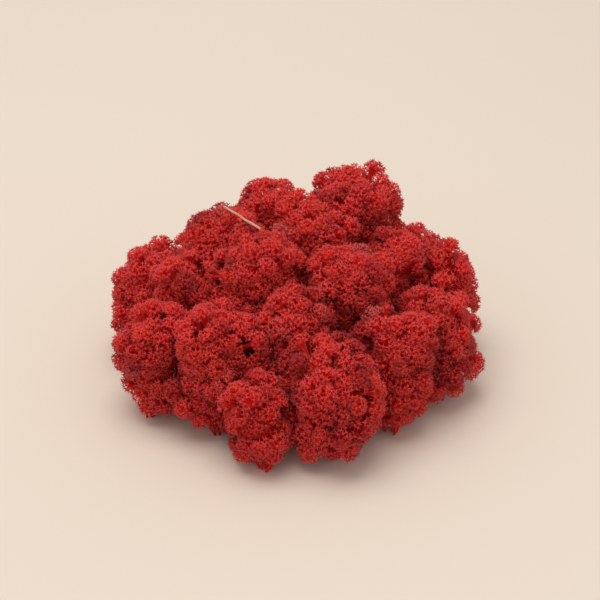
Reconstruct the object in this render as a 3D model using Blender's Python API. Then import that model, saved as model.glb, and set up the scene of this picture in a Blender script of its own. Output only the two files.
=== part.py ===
"""Reindeer moss clump: one cushion of dyed, preserved reindeer lichen.

The clump is a crowd of lichen heads. Each head is one node: a rounded crown covered in short
pointed branch tips, carried by a few bare stems that stand on the ground. The heads were pressed
together while they grew, so each one is flattened where it meets its neighbours. A dry grass
stalk lies across two of the high heads, among their tips. Units are metres, +Z is up, and the
origin is on the ground under the middle of the clump.
"""

import math
import random
from collections import namedtuple

import bmesh
import bpy
from mathutils import Vector

# Driving dimensions
CONTACT_GAP = 0.0004  # left between heads that press on each other
GROUND_CLEARANCE = 0.0020  # least height of a crown's underside, which only the stems bridge
HANG = 1.6  # most that a crown hangs below its widest level, as a share of its radius
PRONG_LENGTH = 0.0034  # how far the branch tips stand out of a crown
PRONG_UNEVENNESS = 0.3  # share by which a tip may fall short
PRONG_SWAY = 0.35  # how far a tip leans towards the rim of its own patch
BASE_POINTS = 116  # points of a crown between its tips; the tips are twice as many
LOBES = 8  # rounded swellings on one crown
LOBE_SCATTER = 0.35  # how unevenly they are spread over it
LOBE_DEPTH = 0.19  # depth of the creases between them, as a share of the crown's radius
LOBE_TIGHTNESS = 7.0  # how steeply a swelling falls off around its own top
DOME_HEIGHT = 0.88  # of a crown above its widest level, as a share of its radius
DOME_ROUNDNESS = 2.2  # of the crown above that level: 2 is a ball
SKIRT_ROUNDNESS = 5.0  # of the crown below it: fuller than a ball
WALL_SOFTNESS = 10.0  # how late a crown turns flat against its neighbour
OVERHANG_CLEARANCE = 0.0015  # over a lower neighbour's highest tips
STEMS = 3  # bare stems under each crown
STEM_SIDES = 6
STEM_FOOT_RADIUS = 0.0017
STEM_TOP_RADIUS = 0.0014
STEM_SPREAD = 0.0064  # of the feet, around the point below the crown
STEM_GATHER = 0.5  # how close together the stems enter the crown, as a share of their spread
STEM_SUNK = 0.0095  # how far the stems run up into the crown
STALK_RADIUS = 0.0004
STALK_LENGTH = 0.0220
STALK_SHIFT = 0.0015  # of the stalk's middle, from halfway between its two seats, to the front
STALK_SINK = 0.0022  # how far the stalk has settled below the tops of the two domes
STALK_SEAT_GAP = 0.0003
STALK_CAPTURE = 0.0026  # how far from the stalk's middle a branch tip still bends to carry it
STALK_CLEARANCE = 0.0042  # how far from it the other tips end below the stalk
STALK_LIFT = 0.0035  # most that a carrying tip grows beyond its usual reach
STALK_BEVEL_RESOLUTION = 1

Head = namedtuple("Head", "name x y z radius")

# The middle of each crown at its widest level, and the radius that its longest tips reach. The
# ridge at the back and the summit stand highest, as on the clump in the photograph, and the
# skirt hangs low all round.
HEADS = (
    Head("head_summit", 0.0290, 0.0155, 0.0440, 0.0205),
    Head("head_ridge_right", 0.0095, 0.0280, 0.0425, 0.0170),
    Head("head_ridge_middle", -0.0100, 0.0260, 0.0385, 0.0190),
    Head("head_ridge_left", -0.0280, 0.0210, 0.0350, 0.0155),
    Head("head_crown_middle", 0.0100, 0.0085, 0.0430, 0.0180),
    Head("head_crown_left", -0.0110, 0.0070, 0.0395, 0.0205),
    Head("head_crown_right", 0.0280, -0.0080, 0.0370, 0.0160),
    Head("head_shoulder_right", 0.0080, -0.0110, 0.0375, 0.0190),
    Head("head_shoulder_left", -0.0125, -0.0145, 0.0330, 0.0175),
    Head("head_skirt_left", -0.0320, -0.0040, 0.0260, 0.0195),
    Head("head_skirt_left_front", -0.0320, -0.0240, 0.0200, 0.0160),
    Head("head_skirt_front", -0.0130, -0.0325, 0.0230, 0.0200),
    Head("head_skirt_front_right", 0.0085, -0.0320, 0.0285, 0.0170),
    Head("head_skirt_right_front", 0.0285, -0.0270, 0.0230, 0.0190),
    Head("head_skirt_right", 0.0435, -0.0105, 0.0280, 0.0155),
    Head("head_skirt_right_back", 0.0470, 0.0085, 0.0220, 0.0170),
    Head("head_skirt_back_right", 0.0375, 0.0345, 0.0270, 0.0170),
    Head("head_skirt_back", 0.0150, 0.0445, 0.0260, 0.0185),
    Head("head_skirt_back_middle", -0.0050, 0.0445, 0.0240, 0.0155),
    Head("head_skirt_back_left", -0.0270, 0.0385, 0.0265, 0.0180),
    Head("head_skirt_left_back", -0.0425, 0.0135, 0.0240, 0.0165),
)

# The two heads that the dry stalk lies across
STALK_HEADS = ("head_ridge_middle", "head_crown_left")

MOSS_RED = (0.330, 0.014, 0.017)
STRAW = (0.560, 0.360, 0.190)


def clear_scene():
    for obj in list(bpy.data.objects):
        bpy.data.objects.remove(obj)


def new_collection(name):
    collection = bpy.data.collections.new(name)
    bpy.context.scene.collection.children.link(collection)
    return collection


def matte(name, colour, roughness):
    """A Principled BSDF for a dry, dull surface."""
    material = bpy.data.materials.new(name)
    material.use_nodes = True
    shader = material.node_tree.nodes["Principled BSDF"]
    shader.inputs["Base Color"].default_value = (*colour, 1.0)
    shader.inputs["Roughness"].default_value = roughness
    shader.inputs["Metallic"].default_value = 0.0
    return material


def centre(head):
    return Vector((head.x, head.y, head.z))


def underside(head):
    """Height above the ground of the crown's lowest tips."""
    return max(GROUND_CLEARANCE, head.z - HANG * head.radius)


def spiral_directions(count, turn):
    """Directions spread evenly over a ball, along a golden-angle spiral that starts at turn."""
    golden_angle = math.pi * (3 - math.sqrt(5))
    found = []
    for i in range(count):
        z = 1 - (2 * i + 1) / count
        ring = math.sqrt(1 - z * z)
        angle = turn + golden_angle * i
        found.append(Vector((ring * math.cos(angle), ring * math.sin(angle), z)))
    return found


def wall_distance(head, direction):
    """How far a ray from the crown's middle runs before it meets the upright wall that the head
    shares with a neighbour. The wall stands where the two crowns' circles cross, seen from above,
    and ends above the lower one of the two, where the higher one bulges over it."""
    nearest = math.inf
    for other in HEADS:
        across = Vector((other.x - head.x, other.y - head.y, 0))
        span = across.length
        if other is head or span >= head.radius + other.radius:
            continue
        facing = direction.dot(across) / span
        if facing > 0:
            wall = (span + (head.radius**2 - other.radius**2) / span) / 2
            distance = (wall - CONTACT_GAP / 2) / facing
            height = head.z + direction.z * distance
            if height < other.z + DOME_HEIGHT * other.radius + OVERHANG_CLEARANCE:
                nearest = min(nearest, distance)
    return nearest


def stalk_line():
    """The straight line of the dry stalk's middle: it lies across the domes of the two heads that
    carry it, sunk a little among their tips. Returns its middle point and its direction."""
    carriers = [next(h for h in HEADS if h.name == name) for name in STALK_HEADS]
    first, second = (centre(head) for head in carriers)
    lifts = [DOME_HEIGHT * head.radius + STALK_RADIUS - STALK_SINK for head in carriers]
    along = second - first
    span = along.length
    along.normalize()
    up = (Vector((0, 0, 1)) - along * along.z).normalized()
    lean = math.asin((lifts[1] - lifts[0]) / span)
    normal = up * math.cos(lean) - along * math.sin(lean)
    ends = [first + normal * lifts[0], second + normal * lifts[1]]
    run = (ends[1] - ends[0]).normalized()
    return (ends[0] + ends[1]) / 2 + run * STALK_SHIFT, run


def stalk_seat(head, direction):
    """The point just under the dry stalk that a branch tip on this ray can carry it from, and how
    far the ray passes the stalk's middle by."""
    if head.name not in STALK_HEADS:
        return None, math.inf
    middle, along = stalk_line()
    to_middle = middle - centre(head)
    side = to_middle - along * to_middle.dot(along)
    flat = direction - along * direction.dot(along)
    distance = side.dot(flat) / flat.length_squared
    if distance <= 0:
        return None, math.inf
    at = (direction * distance - to_middle).dot(along)
    at = max(-STALK_LENGTH / 2, min(STALK_LENGTH / 2, at))
    nearest = to_middle + along * at
    miss = (nearest - direction * nearest.dot(direction)).length
    return nearest - nearest.normalized() * (STALK_RADIUS + STALK_SEAT_GAP), miss


def crown_reach(head, direction, lobes, depth):
    """How far the crown reaches in this direction, at this depth below its longest tips. It is a
    dome above its widest level, hangs down below it, swells in lobes, which flatten out
    underneath, and turns flat against a neighbour."""
    if direction.z >= 0:
        height, roundness = DOME_HEIGHT * head.radius, DOME_ROUNDNESS
    else:
        height, roundness = head.z - underside(head), SKIRT_ROUNDNESS
    width = math.hypot(direction.x, direction.y) / (head.radius - depth)
    rise = abs(direction.z) / (height - depth)
    free = (width**roundness + rise**roundness) ** (-1 / roundness)
    lobe = max(math.exp(LOBE_TIGHTNESS * (direction.dot(top) - 1)) for top in lobes)
    free *= 1 - LOBE_DEPTH * (1 - lobe) * min(1, 1 + direction.z)
    wall = wall_distance(head, direction)
    return (free**-WALL_SOFTNESS + wall**-WALL_SOFTNESS) ** (-1 / WALL_SOFTNESS)


def crown_mesh(head, draw):
    """A ball of patches, each drawn out into one pointed tip, inside the head's own walls."""
    lobes = []
    for direction in spiral_directions(LOBES, draw.uniform(0, math.tau)):
        sideways = Vector((draw.gauss(0, 1), draw.gauss(0, 1), draw.gauss(0, 1)))
        lobes.append((direction + sideways * LOBE_SCATTER).normalized())
    bm = bmesh.new()
    for direction in spiral_directions(BASE_POINTS, draw.uniform(0, math.tau)):
        bm.verts.new(direction)
    bmesh.ops.convex_hull(bm, input=bm.verts)
    bmesh.ops.recalc_face_normals(bm, faces=bm.faces)
    between = set(bm.verts)
    bmesh.ops.poke(bm, faces=bm.faces)

    for vert in bm.verts:
        if vert in between:
            direction = vert.co.normalized()
            vert.co = direction * crown_reach(head, direction, lobes, PRONG_LENGTH)
    for vert in bm.verts:
        if vert not in between:
            rim = [edge.other_vert(vert).co.normalized() for edge in vert.link_edges]
            corner = rim[draw.randrange(len(rim))]
            direction = vert.co.normalized().lerp(corner, PRONG_SWAY * draw.random()).normalized()
            short = PRONG_LENGTH * PRONG_UNEVENNESS * draw.random()
            reach = crown_reach(head, direction, lobes, short)
            vert.co = direction * reach
            seat, miss = stalk_seat(head, direction)
            if miss < STALK_CLEARANCE:
                room = min(reach + STALK_LIFT, wall_distance(head, seat.normalized()))
                if miss < STALK_CAPTURE and seat.length < room:
                    vert.co = seat
                else:
                    vert.co = direction * min(reach, seat.length)

    mesh = bpy.data.meshes.new(head.name)
    bm.to_mesh(mesh)
    bm.free()
    return mesh


def stem_object(head, index, start, end):
    """A tapered stem from a flat foot on the ground to a point inside the crown."""
    axis = end - start
    bm = bmesh.new()
    bmesh.ops.create_cone(
        bm,
        cap_ends=True,
        segments=STEM_SIDES,
        radius1=STEM_FOOT_RADIUS,
        radius2=STEM_TOP_RADIUS,
        depth=axis.length,
    )
    bmesh.ops.translate(bm, vec=(0, 0, axis.length / 2), verts=bm.verts)
    turn = axis.to_track_quat("Z", "Y").to_matrix()
    bmesh.ops.rotate(bm, cent=(0, 0, 0), matrix=turn, verts=bm.verts)
    bmesh.ops.translate(bm, vec=start, verts=bm.verts)
    ground = -head.z
    lowest = sorted(bm.verts, key=lambda vert: vert.co.z)[:STEM_SIDES]
    for vert in lowest:
        vert.co.z = ground
    mesh = bpy.data.meshes.new(f"{head.name}_stem_{index}")
    bm.to_mesh(mesh)
    bm.free()
    return bpy.data.objects.new(mesh.name, mesh)


def head_stems(head, draw):
    """The stems of one head, measured from its crown's middle. They spread towards the ground."""
    turn = draw.uniform(0, math.tau)
    root = Vector((0, 0, -head.z))
    stems = []
    for index in range(STEMS):
        angle = turn + math.tau * (index + draw.uniform(-0.15, 0.15)) / STEMS
        outward = Vector((math.cos(angle), math.sin(angle), 0)) * STEM_SPREAD
        foot = root + outward * draw.uniform(0.7, 1.0)
        top = root + Vector((0, 0, underside(head) + STEM_SUNK)) + outward * STEM_GATHER
        stems.append(stem_object(head, index, foot, top))
    return stems


def join_by_union(obj, others):
    """Fuses the other objects into obj with one Boolean union, and removes them."""
    group = new_collection(f"{obj.name}_parts")
    for other in others:
        group.objects.link(other)
    union = obj.modifiers.new("stems", "BOOLEAN")
    union.operation = "UNION"
    union.operand_type = "COLLECTION"
    union.collection = group
    union.solver = "EXACT"
    bpy.context.view_layer.update()
    graph = bpy.context.evaluated_depsgraph_get()
    joined = bpy.data.meshes.new_from_object(obj.evaluated_get(graph))
    joined.name = obj.data.name
    obj.modifiers.clear()
    obj.data = joined
    for other in others:
        bpy.data.objects.remove(other)
    bpy.data.collections.remove(group)


def make_head(head, number, collection, material):
    draw = random.Random(number)
    obj = bpy.data.objects.new(head.name, crown_mesh(head, draw))
    collection.objects.link(obj)
    join_by_union(obj, head_stems(head, draw))
    obj.data.materials.clear()
    obj.data.materials.append(material)
    obj.location = centre(head)
    return obj


def make_stalk(collection, material):
    """The dry stalk: a thin round straw, seated on the branch tips of two heads."""
    middle, along = stalk_line()
    curve = bpy.data.curves.new("dry_stalk", "CURVE")
    curve.dimensions = "3D"
    curve.bevel_depth = STALK_RADIUS
    curve.bevel_resolution = STALK_BEVEL_RESOLUTION
    curve.use_fill_caps = True
    spline = curve.splines.new("POLY")
    spline.points.add(1)
    spline.points[0].co = (*(along * -STALK_LENGTH / 2), 1.0)
    spline.points[1].co = (*(along * STALK_LENGTH / 2), 1.0)
    curve.materials.append(material)
    obj = bpy.data.objects.new("dry_stalk", curve)
    collection.objects.link(obj)
    obj.location = middle
    return obj


def stand_on_origin(objects, clump):
    """Puts the middle of the clump's spread over the origin and parents every piece to it."""
    bpy.context.view_layer.update()
    corners = [obj.matrix_world @ Vector(corner) for obj in objects for corner in obj.bound_box]
    for obj in objects:
        for axis in (0, 1):
            low = min(corner[axis] for corner in corners)
            high = max(corner[axis] for corner in corners)
            obj.location[axis] -= (low + high) / 2
        obj.parent = clump


def main():
    clear_scene()
    collection = new_collection("reindeer_moss_clump")
    clump = bpy.data.objects.new("clump", None)
    collection.objects.link(clump)
    moss = matte("dyed_moss", MOSS_RED, 0.85)
    straw = matte("dry_straw", STRAW, 0.7)
    pieces = [make_head(head, number, collection, moss) for number, head in enumerate(HEADS)]
    pieces.append(make_stalk(collection, straw))
    stand_on_origin(pieces, clump)


main()
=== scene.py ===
"""Reindeer moss clump: the finished look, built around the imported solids."""

import math

import bmesh
import bpy
import numpy as np
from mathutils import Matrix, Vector, noise
from mathutils.bvhtree import BVHTree


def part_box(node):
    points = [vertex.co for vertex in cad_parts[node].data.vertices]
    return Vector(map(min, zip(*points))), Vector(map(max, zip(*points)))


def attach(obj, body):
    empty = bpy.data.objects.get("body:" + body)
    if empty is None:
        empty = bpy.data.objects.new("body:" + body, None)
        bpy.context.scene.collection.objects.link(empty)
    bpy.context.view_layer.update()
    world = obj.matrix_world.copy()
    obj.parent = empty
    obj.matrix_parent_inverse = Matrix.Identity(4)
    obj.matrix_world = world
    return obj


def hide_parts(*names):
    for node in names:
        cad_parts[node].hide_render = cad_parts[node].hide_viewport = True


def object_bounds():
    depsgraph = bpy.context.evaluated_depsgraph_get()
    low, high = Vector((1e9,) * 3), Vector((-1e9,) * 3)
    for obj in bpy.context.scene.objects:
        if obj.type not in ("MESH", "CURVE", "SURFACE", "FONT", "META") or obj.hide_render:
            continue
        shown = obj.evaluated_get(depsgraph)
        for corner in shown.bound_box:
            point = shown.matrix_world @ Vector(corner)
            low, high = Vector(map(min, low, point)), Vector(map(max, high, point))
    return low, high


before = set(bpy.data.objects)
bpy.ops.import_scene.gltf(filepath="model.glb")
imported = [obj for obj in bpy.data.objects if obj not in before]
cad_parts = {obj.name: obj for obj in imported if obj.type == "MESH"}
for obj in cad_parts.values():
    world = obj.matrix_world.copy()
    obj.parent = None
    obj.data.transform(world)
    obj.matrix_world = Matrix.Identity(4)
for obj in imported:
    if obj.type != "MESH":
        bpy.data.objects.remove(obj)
solid_low, solid_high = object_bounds()


# Lichen heads. Each one is a rounded head of dyed, preserved lichen: bare stems, then branches
# that fork again and again into tufts, each ending in whorls of short pointed tips. The heads
# grew side by side and press on each other, and the tips fill the outline of each head's solid.
GOLDEN_ANGLE = math.pi * (3 - math.sqrt(5))


def ball_directions(count):
    """Directions spread evenly over a ball."""
    steps = np.arange(count)
    z = 1 - (2 * steps + 1) / count
    ring = np.sqrt(1 - z * z)
    angle = GOLDEN_ANGLE * steps
    return np.stack([ring * np.cos(angle), ring * np.sin(angle), z], axis=1)


def unit(vectors):
    """The same directions, each with a length of 1."""
    return vectors / np.linalg.norm(vectors, axis=-1, keepdims=True)


def solid_points(node):
    """The points of a node's solid."""
    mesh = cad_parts[node].data
    points = np.empty(len(mesh.vertices) * 3)
    mesh.vertices.foreach_get("co", points)
    return points.reshape(-1, 3)


CROWN_RADIUS = 0.0172  # from the top of a head down to the middle of its crown
RAY_COUNT = 2400
RAYS = ball_directions(RAY_COUNT)
RAY_SMOOTHING = math.cos(math.radians(11))  # rays closer together than this are evened out
RAY_NEIGHBOURS = RAYS @ RAYS.T > RAY_SMOOTHING
RAY_SHARE = 76  # in per cent, between the valleys and the tips of the solid's surface


def crown_outline(node):
    """The middle of a head's crown, and how far the crown reaches from it along every ray."""
    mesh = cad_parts[node].data
    tree = BVHTree.FromPolygons(
        [vert.co for vert in mesh.vertices], [face.vertices for face in mesh.polygons]
    )
    low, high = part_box(node)
    middle = Vector(((low.x + high.x) / 2, (low.y + high.y) / 2, high.z - CROWN_RADIUS))
    hits = [tree.ray_cast(middle, Vector(ray))[3] or CROWN_RADIUS for ray in RAYS]
    hits = np.array(hits)
    reach = np.array([np.percentile(hits[near], RAY_SHARE) for near in RAY_NEIGHBOURS])
    return np.array(middle), reach


def reach_along(outline, directions):
    """How far a crown reaches in each direction."""
    return outline[1][(directions @ RAYS.T).argmax(axis=1)]


def straight_middle(node):
    """The middle of a straight rod's solid, the way it runs and half its length."""
    points = solid_points(node)
    middle = points.mean(axis=0)
    along = np.linalg.svd(points - middle, full_matrices=False)[2][0]
    return middle, along, np.abs((points - middle) @ along).max()


STALK_MIDDLE, STALK_ALONG, STALK_HALF = straight_middle("dry_stalk")
STALK_RADIUS = 0.00036
TUFT_TIPS = 0.0010  # how far the spines stand out beyond a tuft's radius
CARRY_WIDTH = 0.0026  # how far beside the stalk a tuft still carries it
CARRY_RISE = 0.006  # most that a tuft moves to carry it


def stalk_rise(points, outward):
    """How far each tuft moves outward for its tips to touch the dry stalk from below. It is
    nothing for the tufts that the stalk passes by."""
    facing = np.cross(outward, STALK_ALONG)
    facing /= np.linalg.norm(facing, axis=1, keepdims=True)
    miss = np.abs(((STALK_MIDDLE - points) * facing).sum(axis=1))
    level = np.cross(STALK_ALONG, facing)
    rise = ((STALK_MIDDLE - points) * level).sum(axis=1) / (outward * level).sum(axis=1)
    at = np.abs((points + outward * rise[:, None] - STALK_MIDDLE) @ STALK_ALONG)
    rise -= STALK_RADIUS + TUFT_TIPS
    carries = (miss < CARRY_WIDTH) & (at < STALK_HALF) & (np.abs(rise) < CARRY_RISE)
    return np.where(carries, rise, 0.0)


FAR_OUTSIDE = -1.0


def buried_depth(points, others):
    """How deep each point lies inside the nearest of the other crowns. Negative is outside."""
    depth = np.full(len(points), FAR_OUTSIDE)
    for outline in others:
        offset = points - outline[0]
        distance = np.linalg.norm(offset, axis=1)
        inside = reach_along(outline, offset / distance[:, None]) - distance
        depth = np.maximum(depth, inside)
    return depth


TUFT_SPACING = 0.0049
TUFT_LOWEST = 0.0016  # no tuft grows nearer to the ground
ORIGIN_DROP = 0.002  # a tuft points away from the crown's upright axis, this far below itself
ORIGIN_LOWEST = 0.008
BURIAL_PROBE = 0.003  # how far out from its place a tuft's burial in a neighbour is measured
BURIAL_LIMIT = 0.0038  # a tuft that lies deeper isn't grown
THIN_BURIAL = 0.0014  # one that lies deeper than this is thin
THIN_SLOPE = -0.50  # and so is one that points down more steeply than this
THIN_FULLNESS = 0.5
CREASE_RISE = 0.0011  # how far tufts rise where two heads meet
CREASE_START = -0.0015
CREASE_WIDTH = 0.003
EVENING_ROUNDS = 3


def tuft_places(outline, others, rng):
    """Points a tuft apart over the crown, the way out from each, and how full each tuft is."""
    middle, reach = outline
    points = middle + RAYS * reach[:, None]
    origin = np.tile(middle, (RAY_COUNT, 1))
    origin[:, 2] = np.clip(points[:, 2] - ORIGIN_DROP, ORIGIN_LOWEST, middle[2])
    outward = unit(points - origin)
    depth = buried_depth(points + outward * BURIAL_PROBE, others)
    usable = (depth < BURIAL_LIMIT) & (points[:, 2] > TUFT_LOWEST)
    chosen = []
    for i in rng.permutation(np.flatnonzero(usable)):
        gaps = points[chosen] - points[i]
        if len(chosen) == 0 or (gaps**2).sum(axis=1).min() > TUFT_SPACING**2:
            chosen.append(i)

    # Each tuft moves to the middle of the points that are nearest to it
    free = np.flatnonzero(usable)
    for _ in range(EVENING_ROUNDS):
        gaps = ((points[free][:, None] - points[chosen][None]) ** 2).sum(axis=2)
        owner = gaps.argmin(axis=1)
        middles = np.array([points[free][owner == k].mean(axis=0) for k in range(len(chosen))])
        gaps = ((points[free][:, None] - middles[None]) ** 2).sum(axis=2)
        chosen = list(free[gaps.argmin(axis=0)])

    thin = (depth[chosen] > THIN_BURIAL) | (outward[chosen, 2] < THIN_SLOPE)
    fullness = np.where(thin, THIN_FULLNESS, 1.0)
    crease = np.clip((depth[chosen] - CREASE_START) / CREASE_WIDTH, 0, 1)
    risen = points[chosen] + outward[chosen] * (CREASE_RISE * crease)[:, None]
    return risen, outward[chosen], fullness


NEARLY_UPRIGHT = 0.9
THIN_SIDES = 3  # of each rod that is thinner than a stem or a trunk


def square_pair(axes):
    """Two directions at right angles to each axis and to each other."""
    upright = np.abs(axes[:, 2:]) >= NEARLY_UPRIGHT
    helper = np.where(upright, [[1.0, 0.0, 0.0]], [[0.0, 0.0, 1.0]])
    side = unit(np.cross(axes, helper))
    return side, np.cross(axes, side)


def spread(axes, lean, turn):
    """Directions that lean away from axes by an angle, towards the side that turn gives."""
    side, other = square_pair(axes)
    sideways = np.cos(turn)[:, None] * side + np.sin(turn)[:, None] * other
    return axes * np.cos(lean)[:, None] + sideways * np.sin(lean)[:, None]


def tapers(starts, ends, start_radius, end_radius, sides, rng):
    """Tapered rods from starts to ends, pointed where end_radius is 0. Gives corner points, one
    row of them for each rod, then one rod's triangles and its number of sides."""
    side, other = square_pair(unit(ends - starts))
    angle = rng.uniform(0, math.tau, (len(starts), 1)) + math.tau * np.arange(sides) / sides
    ring = np.cos(angle)[..., None] * side[:, None] + np.sin(angle)[..., None] * other[:, None]
    base = starts[:, None] + ring * start_radius
    around = [(i, (i + 1) % sides) for i in range(sides)]
    if end_radius == 0:
        corners = np.concatenate([base, ends[:, None]], axis=1)
        return corners, [(i, j, sides) for i, j in around], sides
    top = ends[:, None] + ring * end_radius
    corners = np.concatenate([base, top], axis=1)
    lower = [(i, j, sides + j) for i, j in around]
    upper = [(i, sides + j, sides + i) for i, j in around]
    return corners, lower + upper, sides


class Growth:
    """Gathers rods and shells into one mesh. Each point keeps two values for its colour: its
    depth, from 0 in the heart of the head to 1 at the outermost tips, which sets the painted
    shade inside and the painted highlight at the tips, and the shade of its branch, a tone that
    differs at random."""

    def __init__(self):
        self.points, self.triangles, self.depth, self.shade = [], [], [], []
        self.count = 0

    def add_rods(self, rods, depths, shade):
        corners, triangles, sides = rods
        rod_count, corner_count = corners.shape[:2]
        depth = np.full((rod_count, corner_count), depths[1])
        depth[:, :sides] = depths[0]
        first = self.count + corner_count * np.arange(rod_count)
        self.points.append(corners.reshape(-1, 3))
        self.triangles.append((first[:, None, None] + np.array(triangles)).reshape(-1, 3))
        self.depth.append(depth.ravel())
        self.shade.append(np.repeat(shade, corner_count))
        self.count += rod_count * corner_count

    def add_shell(self, points, triangles, depth, shade):
        self.points.append(points)
        self.triangles.append(np.array(triangles) + self.count)
        self.depth.append(np.full(len(points), depth))
        self.shade.append(np.full(len(points), shade))
        self.count += len(points)

    def mesh(self, name):
        mesh = bpy.data.meshes.new(name)
        points = np.clip(np.concatenate(self.points), solid_low, solid_high)
        mesh.from_pydata(points, [], np.concatenate(self.triangles))
        mesh.shade_smooth()
        for title, values in (("depth", self.depth), ("shade", self.shade)):
            attribute = mesh.attributes.new(title, "FLOAT", "POINT")
            attribute.data.foreach_set("value", np.concatenate(values))
        return mesh


CORE_SHARE = 0.50  # of the crown's reach
CORE_UNEVENNESS = (0.86, 1.08)
CORE_POINTS = 500
CORE_DEPTH = 0.0
CORE_SHADE = 0.5
CORE_TWIGS = 300
CORE_TWIG_LEAN = (0.2, 1.0)
CORE_TWIG_SUNK = 0.0006
CORE_TWIG_LENGTH = (0.0025, 0.0045)
CORE_TWIG_RADIUS = 0.00050
CORE_TWIG_DEPTHS = (0.05, 0.5)
CORE_TWIG_SHADE = (0.2, 1)


def grow_core(growth, outline, rng):
    """The inside of a head, where the branches are too many to tell apart, in the darkest painted
    shade.
    """
    bm = bmesh.new()
    for direction in ball_directions(CORE_POINTS):
        bm.verts.new(direction)
    bmesh.ops.convex_hull(bm, input=bm.verts)
    bmesh.ops.recalc_face_normals(bm, faces=bm.faces)
    bm.verts.index_update()
    directions = np.array([vert.co for vert in bm.verts])
    triangles = [[vert.index for vert in face.verts] for face in bm.faces]
    bm.free()
    size = CORE_SHARE * reach_along(outline, directions)
    size *= rng.uniform(*CORE_UNEVENNESS, CORE_POINTS)
    points = outline[0] + directions * size[:, None]
    growth.add_shell(points, triangles, CORE_DEPTH, CORE_SHADE)

    rooted = rng.choice(CORE_POINTS, CORE_TWIGS, replace=False)
    lean = rng.uniform(*CORE_TWIG_LEAN, CORE_TWIGS)
    way = spread(directions[rooted], lean, rng.uniform(0, math.tau, CORE_TWIGS))
    start = points[rooted] - directions[rooted] * CORE_TWIG_SUNK
    end = start + way * rng.uniform(*CORE_TWIG_LENGTH, (CORE_TWIGS, 1))
    shade = rng.uniform(*CORE_TWIG_SHADE, CORE_TWIGS)
    twigs = tapers(start, end, CORE_TWIG_RADIUS, 0, THIN_SIDES, rng)
    growth.add_rods(twigs, CORE_TWIG_DEPTHS, shade)


GROUND_LEVEL = 0.0001  # points of a solid below this stand on the ground
FOOT_WIDTH = 0.0045  # points farther apart than this belong to two feet


def foot_middles(node):
    """Where the stems of a head's solid meet the ground."""
    low = solid_points(node)
    low = low[low[:, 2] < GROUND_LEVEL]
    feet = []
    for point in low:
        if all(np.linalg.norm(point - foot) > FOOT_WIDTH for foot in feet):
            feet.append(point)
    nearest = [np.argmin([np.linalg.norm(point - foot) for foot in feet]) for point in low]
    nearest = np.array(nearest)
    return [low[nearest == i].mean(axis=0) for i in range(len(feet))]


STEMS_PER_FOOT = 9
STEM_SIDES = 5
STEM_RADII = (0.00042, 0.00036, 0.00032)  # at the foot, at the bend and inside the crown
# The stems' places on the ramp of painted shade: darker at the foot and inside the crown
STEM_DEPTHS = (0.12, 0.3, 0.1)
FOOT_RING = (0.0004, 0.0026)  # how far the stems stand from the middle of their foot
CROWN_RING = 0.0035  # and how far from it they enter the crown
CROWN_ENTRY = 0.8  # share of the height of the crown's middle that they rise to
STEM_LEAN = 0.5  # share of the way to the crown's axis that they lean
BEND_HEIGHT = 0.35  # share of a stem's length below its bend
BEND_OUTWARD = 0.0008
BEND_SWAY = 0.0016
SWAY_SHARES = (1, 1, 0.5)  # to the sides and up or down
TWIGS_PER_STEM = 5
TWIG_HEIGHT = (0.15, 1.0)  # share of the way up to the bend
TWIG_LEAN = (0.5, 1.1)
TWIG_TURN = 2.4
TWIG_LENGTH = (0.0009, 0.0026)
TWIG_RADIUS = 0.00024
TWIG_DEPTHS = (0.3, 0.6)


def grow_stems(growth, outline, feet, rng):
    """Thin bare stems that rise from around each foot into the crown, with short side twigs."""
    middle = outline[0]
    for foot in feet:
        turn = rng.uniform(0, math.tau, STEMS_PER_FOOT)
        ring = np.stack([np.cos(turn), np.sin(turn), 0 * turn], axis=1)
        starts = foot + ring * rng.uniform(*FOOT_RING, (STEMS_PER_FOOT, 1))
        to_axis = np.array([middle[0] - foot[0], middle[1] - foot[1], 0.0])
        height = np.array([0.0, 0.0, middle[2] * CROWN_ENTRY])
        ends = foot + height + to_axis * STEM_LEAN + ring * CROWN_RING
        sway = rng.uniform(-BEND_SWAY, BEND_SWAY, (STEMS_PER_FOOT, 3)) * SWAY_SHARES
        bends = starts + (ends - starts) * BEND_HEIGHT + ring * BEND_OUTWARD + sway
        shade = rng.uniform(0, 1, STEMS_PER_FOOT)
        lower = tapers(starts, bends, *STEM_RADII[:2], STEM_SIDES, rng)
        growth.add_rods(lower, STEM_DEPTHS[:2], shade)
        upper = tapers(bends, ends, *STEM_RADII[1:], STEM_SIDES, rng)
        growth.add_rods(upper, STEM_DEPTHS[1:], shade)

        stem = np.repeat(np.arange(STEMS_PER_FOOT), TWIGS_PER_STEM)
        up = rng.uniform(*TWIG_HEIGHT, (len(stem), 1))
        root = starts[stem] + (bends - starts)[stem] * up
        lean = rng.uniform(*TWIG_LEAN, len(stem))
        way = spread(unit(bends - starts)[stem], lean, TWIG_TURN * np.arange(len(stem)))
        tip = root + way * rng.uniform(*TWIG_LENGTH, (len(stem), 1))
        twigs = tapers(root, tip, TWIG_RADIUS, 0, THIN_SIDES, rng)
        growth.add_rods(twigs, TWIG_DEPTHS, shade[stem])


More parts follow.
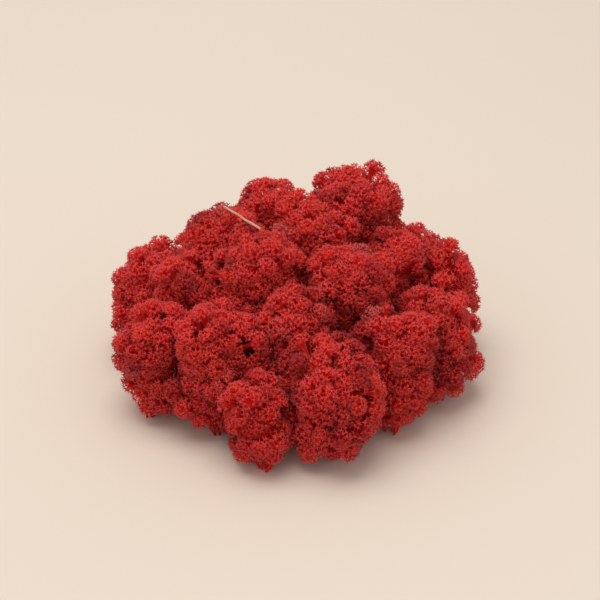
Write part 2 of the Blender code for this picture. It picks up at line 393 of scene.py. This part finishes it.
TUFT_RADIUS = (0.0030, 0.0042)
TUFT_SINK = 0.0026  # how deep the lowest tufts sink below the crown's outline
SINK_RARITY = 2.2  # how few of them sink that deep
TUFT_RISE = 0.0005
LUMPS = ((75.0, 0.0044), (180.0, 0.0020))  # swellings to a metre, and their height
TOP_SHARE = 0.9  # of a tuft's radius, from its middle to the crown's outline
GROUND_SHARE = 0.6  # of a tuft's radius and tips, from its middle down to the ground
ROOT_SHARE = 0.75  # of a tuft's radius, from its middle down to where it forks
TRUNK_START = 0.55  # share of the way from the crown's middle to that fork
TRUNK_RADII = (0.0009, 0.0006)
TRUNK_SIDES = 4
TRUNK_DEPTHS = (0.0, 0.2)
BRANCHES_PER_TUFT = 7  # one in the middle and the others around it
MIDDLE_LEAN = 0.12
BRANCH_LEAN = (0.75, 1.15)
BRANCH_TURN = 0.3  # how far a branch stands out of the even ring
BRANCH_SHARE = (0.42, 0.58)  # of a tuft's radius, from its middle out to a branch's fork
BRANCH_RADII = (0.0006, 0.00038)
BRANCH_DEPTHS = (0.2, 0.5)
WHORLS_PER_BRANCH = 6
FAN_LEAN = 0.50  # how far the outermost branchlets lean away from their branch
FAN_START = 0.35
FAN_UNEVENNESS = (0.85, 1.15)
FAN_TURN = 0.4
BRANCHLET_SHARE = (0.84, 1.06)  # of a tuft's radius, from its middle out to a branchlet's tip
BRANCHLET_RADIUS = 0.00042
BRANCHLET_DEPTHS = (0.5, 0.85)
SPINES_PER_WHORL = 4
SPINE_LEAN = 1.15
SPINE_UNEVENNESS = (0.55, 1.1)
SPINE_LENGTH = (0.0009, 0.0014)
SPINE_SUNK = 0.0001
SPINE_RADIUS = 0.00025
SPINE_DEPTHS = (0.85, 1.0)


def grow_tufts(growth, outline, places, rng):
    """Tufts of forking branches whose tips end in whorls of short spines."""
    points, outward, fullness = places
    count = len(points)
    shade = rng.uniform(0, 1, count)
    radius = rng.uniform(*TUFT_RADIUS, count)
    sink = TUFT_SINK * rng.uniform(0, 1, count) ** SINK_RARITY - TUFT_RISE
    for per_metre, height in LUMPS:
        sink -= [height * noise.noise(Vector(point) * per_metre) for point in points]
    under_stalk = stalk_rise(points, outward)
    sink = np.where(under_stalk != 0, -under_stalk, sink)
    heart = points - outward * (radius * TOP_SHARE + sink)[:, None]
    margin = (radius + TUFT_TIPS)[:, None]
    lowest = np.array(solid_low) + margin * [1, 1, GROUND_SHARE]
    heart = np.clip(heart, lowest, np.array(solid_high) - margin)
    root = heart - outward * (radius * ROOT_SHARE)[:, None]
    trunk_start = outline[0] + (root - outline[0]) * TRUNK_START
    trunks = tapers(trunk_start, root, *TRUNK_RADII, TRUNK_SIDES, rng)
    growth.add_rods(trunks, TRUNK_DEPTHS, shade)

    # Branches fan out from each trunk
    tuft = np.repeat(np.arange(count), BRANCHES_PER_TUFT)
    place = np.tile(np.arange(BRANCHES_PER_TUFT), count)
    lean = np.where(place == 0, MIDDLE_LEAN, rng.uniform(*BRANCH_LEAN, len(tuft)))
    turn = math.tau * place / (BRANCHES_PER_TUFT - 1)
    turn += rng.uniform(-BRANCH_TURN, BRANCH_TURN, len(tuft))
    turn += np.repeat(rng.uniform(0, math.tau, count), BRANCHES_PER_TUFT)
    branch_way = spread(outward[tuft], lean, turn)
    length = radius[tuft] * rng.uniform(*BRANCH_SHARE, len(tuft))
    fork = heart[tuft] + branch_way * length[:, None]
    branches = tapers(root[tuft], fork, *BRANCH_RADII, THIN_SIDES, rng)
    growth.add_rods(branches, BRANCH_DEPTHS, shade[tuft])

    # Branchlets fan out from each branch
    whorls = np.maximum(1, np.round(WHORLS_PER_BRANCH * fullness[tuft])).astype(int)
    branch = np.repeat(np.arange(len(tuft)), whorls)
    step = np.arange(len(branch)) - np.repeat(np.cumsum(whorls) - whorls, whorls)
    lean = FAN_LEAN * np.sqrt((step + FAN_START) / WHORLS_PER_BRANCH)
    lean *= rng.uniform(*FAN_UNEVENNESS, len(branch))
    turn = GOLDEN_ANGLE * step + rng.uniform(-FAN_TURN, FAN_TURN, len(branch)) + branch
    way = spread(branch_way[branch], lean, turn)
    owner = tuft[branch]
    length = radius[owner] * rng.uniform(*BRANCHLET_SHARE, len(branch))
    tip = heart[owner] + way * length[:, None]
    tone = shade[owner]
    branchlets = tapers(fork[branch], tip, BRANCHLET_RADIUS, 0, THIN_SIDES, rng)
    growth.add_rods(branchlets, BRANCHLET_DEPTHS, tone)

    # A whorl of spines ends each branchlet
    spine = np.repeat(np.arange(len(branch)), SPINES_PER_WHORL)
    number = np.tile(np.arange(SPINES_PER_WHORL), len(branch))
    whorl_turn = rng.uniform(0, math.tau, len(branch))
    turn = math.tau * number / SPINES_PER_WHORL + np.repeat(whorl_turn, SPINES_PER_WHORL)
    lean = SPINE_LEAN * rng.uniform(*SPINE_UNEVENNESS, len(spine))
    spine_way = spread(way[spine], lean, turn)
    length = rng.uniform(*SPINE_LENGTH, len(spine))
    start = tip[spine] - way[spine] * SPINE_SUNK
    end = start + spine_way * length[:, None]
    spines = tapers(start, end, SPINE_RADIUS, 0, THIN_SIDES, rng)
    growth.add_rods(spines, SPINE_DEPTHS, tone[spine])


def add_node(tree, kind, **settings):
    """A new shader node, with its settings."""
    node = tree.nodes.new(kind)
    for name, value in settings.items():
        setattr(node, name, value)
    return node


PATCH_DETAIL = (("Broad", 2.0), ("Fine", 3.0))
PATCH_RANGE = (0.34, 0.66)  # the part of the noise that is stretched from 0 to 1


def mottle_group():
    """Broad and fine uneven patches, for any grown surface. Scales are in patches per metre."""
    tree = bpy.data.node_groups.new("Grown mottle", "ShaderNodeTree")
    face = tree.interface
    face.new_socket("Vector", in_out="INPUT", socket_type="NodeSocketVector")
    face.new_socket("Broad Scale", in_out="INPUT", socket_type="NodeSocketFloat")
    face.new_socket("Fine Scale", in_out="INPUT", socket_type="NodeSocketFloat")
    face.new_socket("Broad", in_out="OUTPUT", socket_type="NodeSocketFloat")
    face.new_socket("Fine", in_out="OUTPUT", socket_type="NodeSocketFloat")
    given = add_node(tree, "NodeGroupInput")
    result = add_node(tree, "NodeGroupOutput")
    for size, detail in PATCH_DETAIL:
        patches = add_node(tree, "ShaderNodeTexNoise")
        patches.inputs["Detail"].default_value = detail
        tree.links.new(given.outputs["Vector"], patches.inputs["Vector"])
        tree.links.new(given.outputs[f"{size} Scale"], patches.inputs["Scale"])
        stretched = add_node(tree, "ShaderNodeMapRange")
        stretched.inputs["From Min"].default_value = PATCH_RANGE[0]
        stretched.inputs["From Max"].default_value = PATCH_RANGE[1]
        tree.links.new(patches.outputs["Fac"], stretched.inputs["Value"])
        tree.links.new(stretched.outputs["Result"], result.inputs[size])
    return tree


GROWN_MOTTLE = mottle_group()


def mottled(tree, vector, broad_scale, fine_scale):
    """The mottle group placed in a material, with that material's own scales."""
    node = add_node(tree, "ShaderNodeGroup", node_tree=GROWN_MOTTLE)
    node.inputs["Broad Scale"].default_value = broad_scale
    node.inputs["Fine Scale"].default_value = fine_scale
    tree.links.new(vector, node.inputs["Vector"])
    return node


# The Mix node has several sockets of the same name, so its factor and colours go by place
MIX_INPUTS = (0, 6, 7)
MIX_RESULT = 2


def mixed(tree, factor, first, second, blend="MIX"):
    """A colour mix. Each of the three may be a socket to link or a plain value."""
    node = add_node(tree, "ShaderNodeMix", data_type="RGBA", blend_type=blend)
    for value, place in zip((factor, first, second), MIX_INPUTS):
        if isinstance(value, bpy.types.NodeSocket):
            tree.links.new(value, node.inputs[place])
        else:
            node.inputs[place].default_value = value
    return node.outputs[MIX_RESULT]


def remapped(tree, value, over, to):
    """A value that runs over one range, brought to another."""
    node = add_node(tree, "ShaderNodeMapRange")
    tree.links.new(value, node.inputs["Value"])
    for name, number in zip(("From Min", "From Max", "To Min", "To Max"), (*over, *to)):
        node.inputs[name].default_value = number
    return node.outputs["Result"]


def bumped(tree, shader, height, strength, distance):
    """Fine relief on a material's surface."""
    node = add_node(tree, "ShaderNodeBump")
    node.inputs["Strength"].default_value = strength
    node.inputs["Distance"].default_value = distance
    tree.links.new(height, node.inputs["Height"])
    tree.links.new(node.outputs["Normal"], shader.inputs["Normal"])


# The dye red, with painted shade darkening it towards the heart of a head and a pale painted
# highlight on its tips, and the tones that it varies towards
DYE_SHADE_AND_HIGHLIGHT_TONES = (
    (0.0, (0.620, 0.0018, 0.0026, 1)),
    (0.35, (0.840, 0.0045, 0.0060, 1)),
    (0.75, (0.890, 0.0150, 0.0165, 1)),
    (1.0, (0.870, 0.0850, 0.0780, 1)),
)
WARM_RED = (0.950, 0.055, 0.028, 1)
FADED_RED = (0.480, 0.1200, 0.1200, 1)
MAROON = (0.280, 0.0050, 0.0085, 1)
PINK_SHEEN = (1.0, 0.45, 0.42, 1)


def lichen_material():
    """Dyed lichen: dull and dry, with painted shade inside and a painted highlight at the tips,
    uneven from tuft to tuft.
    """
    material = bpy.data.materials.new("Dyed lichen")
    material.use_nodes = True
    tree = material.node_tree
    shader = tree.nodes["Principled BSDF"]
    place = add_node(tree, "ShaderNodeTexCoord")
    depth = add_node(tree, "ShaderNodeAttribute", attribute_name="depth").outputs["Fac"]
    shade = add_node(tree, "ShaderNodeAttribute", attribute_name="shade").outputs["Fac"]
    mottle = mottled(tree, place.outputs["Object"], broad_scale=70.0, fine_scale=900.0)
    broad, fine = mottle.outputs["Broad"], mottle.outputs["Fine"]

    # The ramp paints shade into the heart of each head and a pale pink highlight on its outermost
    # tips
    dye_and_painted_shade = add_node(tree, "ShaderNodeValToRGB")
    stops = dye_and_painted_shade.color_ramp.elements  # a new ramp has two
    for i, (position, colour) in enumerate(DYE_SHADE_AND_HIGHLIGHT_TONES):
        stop = stops[i] if i < 2 else stops.new(position)
        stop.position = position
        stop.color = colour
    tree.links.new(depth, dye_and_painted_shade.inputs["Fac"])

    warm = remapped(tree, shade, over=(0.55, 1.0), to=(0.0, 0.45))
    colour = mixed(tree, warm, dye_and_painted_shade.outputs["Color"], WARM_RED)
    faded = remapped(tree, shade, over=(0.0, 0.07), to=(0.5, 0.0))
    colour = mixed(tree, faded, colour, FADED_RED)
    dark = remapped(tree, broad, over=(0.0, 0.36), to=(0.62, 0.0))
    colour = mixed(tree, dark, colour, MAROON)
    speckle = remapped(tree, fine, over=(0.0, 1.0), to=(0.86, 1.10))
    colour = mixed(tree, 1.0, colour, speckle, "MULTIPLY")
    tree.links.new(colour, shader.inputs["Base Color"])
    rough = remapped(tree, fine, over=(0.0, 1.0), to=(0.72, 0.92))
    tree.links.new(rough, shader.inputs["Roughness"])
    shader.inputs["Specular IOR Level"].default_value = 0.25
    shader.inputs["Sheen Weight"].default_value = 0.14
    shader.inputs["Sheen Tint"].default_value = PINK_SHEEN
    bumped(tree, shader, fine, strength=0.5, distance=0.0001)
    return material


DYED_LICHEN = lichen_material()
NEIGHBOUR_DISTANCE = 0.055  # heads farther apart than this never touch
head_nodes = sorted(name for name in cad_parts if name.startswith("head_"))
outlines = {node: crown_outline(node) for node in head_nodes}

for number, node in enumerate(head_nodes):
    rng = np.random.default_rng(number)
    outline = outlines[node]
    others = [
        outlines[other]
        for other in head_nodes
        if other != node
        and np.linalg.norm(outlines[other][0] - outline[0]) < NEIGHBOUR_DISTANCE
    ]
    growth = Growth()
    grow_core(growth, outline, rng)
    grow_stems(growth, outline, foot_middles(node), rng)
    grow_tufts(growth, outline, tuft_places(outline, others, rng), rng)
    name = node.replace("head_", "lichen_")
    head = bpy.data.objects.new(name, growth.mesh(name))
    bpy.context.scene.collection.objects.link(head)
    head.data.materials.append(DYED_LICHEN)
    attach(head, "root")
    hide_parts(node)


# Dry grass stalk. One hollow straw, pale and brittle, caught in the moss when it was gathered. It
# lies loose on the tips of two heads. Two joints ring it, and dye has rubbed off on it.
STALK_SEED = 77
STALK_STATIONS = 46
STALK_SIDES = 12
STALK_TAPER = 0.12
STALK_JOINTS = (-0.42, 0.55)  # places along it, from -1 at its thick end to 1 at its thin end
JOINT_WIDTH = 0.03
JOINT_SWELLING = 0.22
SWAY, SWAY_WAVES = 0.00012, 5
SAG, SAG_WAVES = 0.00006, 9
RIDGES = 6
RIDGE_HEIGHT = 0.05  # share of the radius
RIDGE_ROUGHNESS = 0.03
BORE = ((0.0, 0.72), (0.0012, 0.66))  # depths into each end, and the bore's share of the radius
GRAIN_LENGTH, GRAIN_WIDTH = 2.0, 3.0
stalk_side = unit(np.cross(STALK_ALONG, [0.0, 0.0, 1.0]))
stalk_up = np.cross(stalk_side, STALK_ALONG)

rng = np.random.default_rng(STALK_SEED)
points, grain = [], []
for place in np.linspace(-1, 1, STALK_STATIONS):
    swelling = sum(math.exp(-(((place - joint) / JOINT_WIDTH) ** 2)) for joint in STALK_JOINTS)
    radius = STALK_RADIUS * (1 - STALK_TAPER * place) * (1 + JOINT_SWELLING * swelling)
    sway = stalk_side * SWAY * math.sin(SWAY_WAVES * place)
    sway = sway + stalk_up * SAG * math.sin(SAG_WAVES * place)
    for side in range(STALK_SIDES):
        angle = math.tau * side / STALK_SIDES
        rough = RIDGE_ROUGHNESS * rng.uniform(-1, 1)
        ridge = radius * (1 + RIDGE_HEIGHT * math.cos(RIDGES * angle) + rough)
        around = stalk_side * math.cos(angle) + stalk_up * math.sin(angle)
        points.append(STALK_MIDDLE + STALK_ALONG * (place * STALK_HALF) + sway + around * ridge)
        across = (math.cos(angle) * GRAIN_WIDTH, math.sin(angle) * GRAIN_WIDTH)
        grain.append((place * GRAIN_LENGTH, *across))

faces = []
for station in range(STALK_STATIONS - 1):
    first = station * STALK_SIDES
    for side in range(STALK_SIDES):
        low, next_low = first + side, first + (side + 1) % STALK_SIDES
        faces.append((low, next_low, next_low + STALK_SIDES, low + STALK_SIDES))

for station, inward, turn in ((0, 1, -1), (STALK_STATIONS - 1, -1, 1)):
    rim = [station * STALK_SIDES + side for side in range(STALK_SIDES)]
    end = STALK_MIDDLE - STALK_ALONG * STALK_HALF * inward
    bore = []
    for depth, share in BORE:
        bore.append([len(points) + side for side in range(STALK_SIDES)])
        for i in rim:
            radial = points[i] - end - STALK_ALONG * ((points[i] - end) @ STALK_ALONG)
            points.append(end + radial * share + STALK_ALONG * depth * inward)
            grain.append(grain[i])
    for outer, inner in ((rim, bore[0]), bore):
        for side in range(STALK_SIDES):
            after = (side + 1) % STALK_SIDES
            ring = (outer[side], outer[after], inner[after], inner[side])
            faces.append(ring[::turn])
    faces.append(tuple(bore[1])[::turn])

mesh = bpy.data.meshes.new("straw")
mesh.from_pydata(points, [], faces)
mesh.shade_smooth()
mesh.attributes.new("grain", "FLOAT_VECTOR", "POINT").data.foreach_set("vector", np.ravel(grain))
straw = bpy.data.objects.new("straw", mesh)
bpy.context.scene.collection.objects.link(straw)

STRAW_BROWN = (0.56, 0.33, 0.21, 1)
STRAW_PALE = (0.76, 0.55, 0.41, 1)
RUBBED_DYE = (0.60, 0.16, 0.12, 1)
dry_straw = bpy.data.materials.new("Dry straw")
dry_straw.use_nodes = True
tree = dry_straw.node_tree
shader = tree.nodes["Principled BSDF"]
grain_place = add_node(tree, "ShaderNodeAttribute", attribute_name="grain")
mottle = mottled(tree, grain_place.outputs["Vector"], broad_scale=1.6, fine_scale=3.5)
broad, fine = mottle.outputs["Broad"], mottle.outputs["Fine"]
streaks = mixed(tree, fine, STRAW_BROWN, STRAW_PALE)
rubbed = remapped(tree, broad, over=(0.25, 1.0), to=(0.10, 0.75))
colour = mixed(tree, rubbed, streaks, RUBBED_DYE)
tree.links.new(colour, shader.inputs["Base Color"])
rough = remapped(tree, fine, over=(0.0, 1.0), to=(0.62, 0.45))
tree.links.new(rough, shader.inputs["Roughness"])
bumped(tree, shader, fine, strength=0.4, distance=0.0001)
straw.data.materials.append(dry_straw)
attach(straw, "root")
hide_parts("dry_stalk")


# Floor. A plain pale tabletop, painted a warm cream that is slightly uneven. The clump stands
# loose on it.
CREAM = (0.79, 0.69, 0.59, 1)
LIGHT_CREAM = (0.81, 0.71, 0.61, 1)
floor_mesh = bpy.data.meshes.new("floor")
bm = bmesh.new()
bmesh.ops.create_grid(bm, x_segments=1, y_segments=1, size=6.0)
bm.to_mesh(floor_mesh)
bm.free()
floor = bpy.data.objects.new("floor", floor_mesh)
bpy.context.scene.collection.objects.link(floor)
cream_paint = bpy.data.materials.new("Cream paint")
cream_paint.use_nodes = True
tree = cream_paint.node_tree
shader = tree.nodes["Principled BSDF"]
place = add_node(tree, "ShaderNodeTexCoord")
mottle = mottled(tree, place.outputs["Object"], broad_scale=2.0, fine_scale=300.0)
colour = mixed(tree, mottle.outputs["Broad"], CREAM, LIGHT_CREAM)
tree.links.new(colour, shader.inputs["Base Color"])
shader.inputs["Roughness"].default_value = 0.9
floor_mesh.materials.append(cream_paint)


# Light. One large soft lamp overhead, a little to the camera's left, in an even pale room. The
# lamp is turned to the clump.
world = bpy.data.worlds.new("room")
bpy.context.scene.world = world
world.use_nodes = True
world.node_tree.nodes["Background"].inputs["Color"].default_value = (1.0, 0.98, 0.96, 1)
world.node_tree.nodes["Background"].inputs["Strength"].default_value = 0.58
key = bpy.data.objects.new("key", bpy.data.lights.new("key", "AREA"))
key.data.shape = "DISK"
key.data.size = 0.9
key.data.energy = 6.0
key.data.color = (1.0, 0.96, 0.91)
key.location = (-0.11, 0.09, 1.00)
key.rotation_euler = (Vector((0, 0, 0.03)) - key.location).to_track_quat("-Z", "Y").to_euler()
bpy.context.scene.collection.objects.link(key)


# Camera. It stands at the photograph's distance and angle, with a longer lens, so that the clump
# fills the frame.
AZIMUTH = math.radians(-35.4)
ELEVATION = math.radians(32.9)
DISTANCE = 0.52
AIM = Vector((0, 0, 0.026))
back = Vector(
    (
        math.sin(AZIMUTH) * math.cos(ELEVATION),
        -math.cos(AZIMUTH) * math.cos(ELEVATION),
        math.sin(ELEVATION),
    )
)
camera = bpy.data.objects.new("camera", bpy.data.cameras.new("camera"))
camera.data.sensor_width = 36.0
camera.data.lens = 100.0
camera.location = AIM + back * DISTANCE
camera.rotation_euler = back.to_track_quat("Z", "Y").to_euler()
bpy.context.scene.collection.objects.link(camera)
bpy.context.scene.camera = camera
bpy.context.scene.view_settings.view_transform = "Standard"
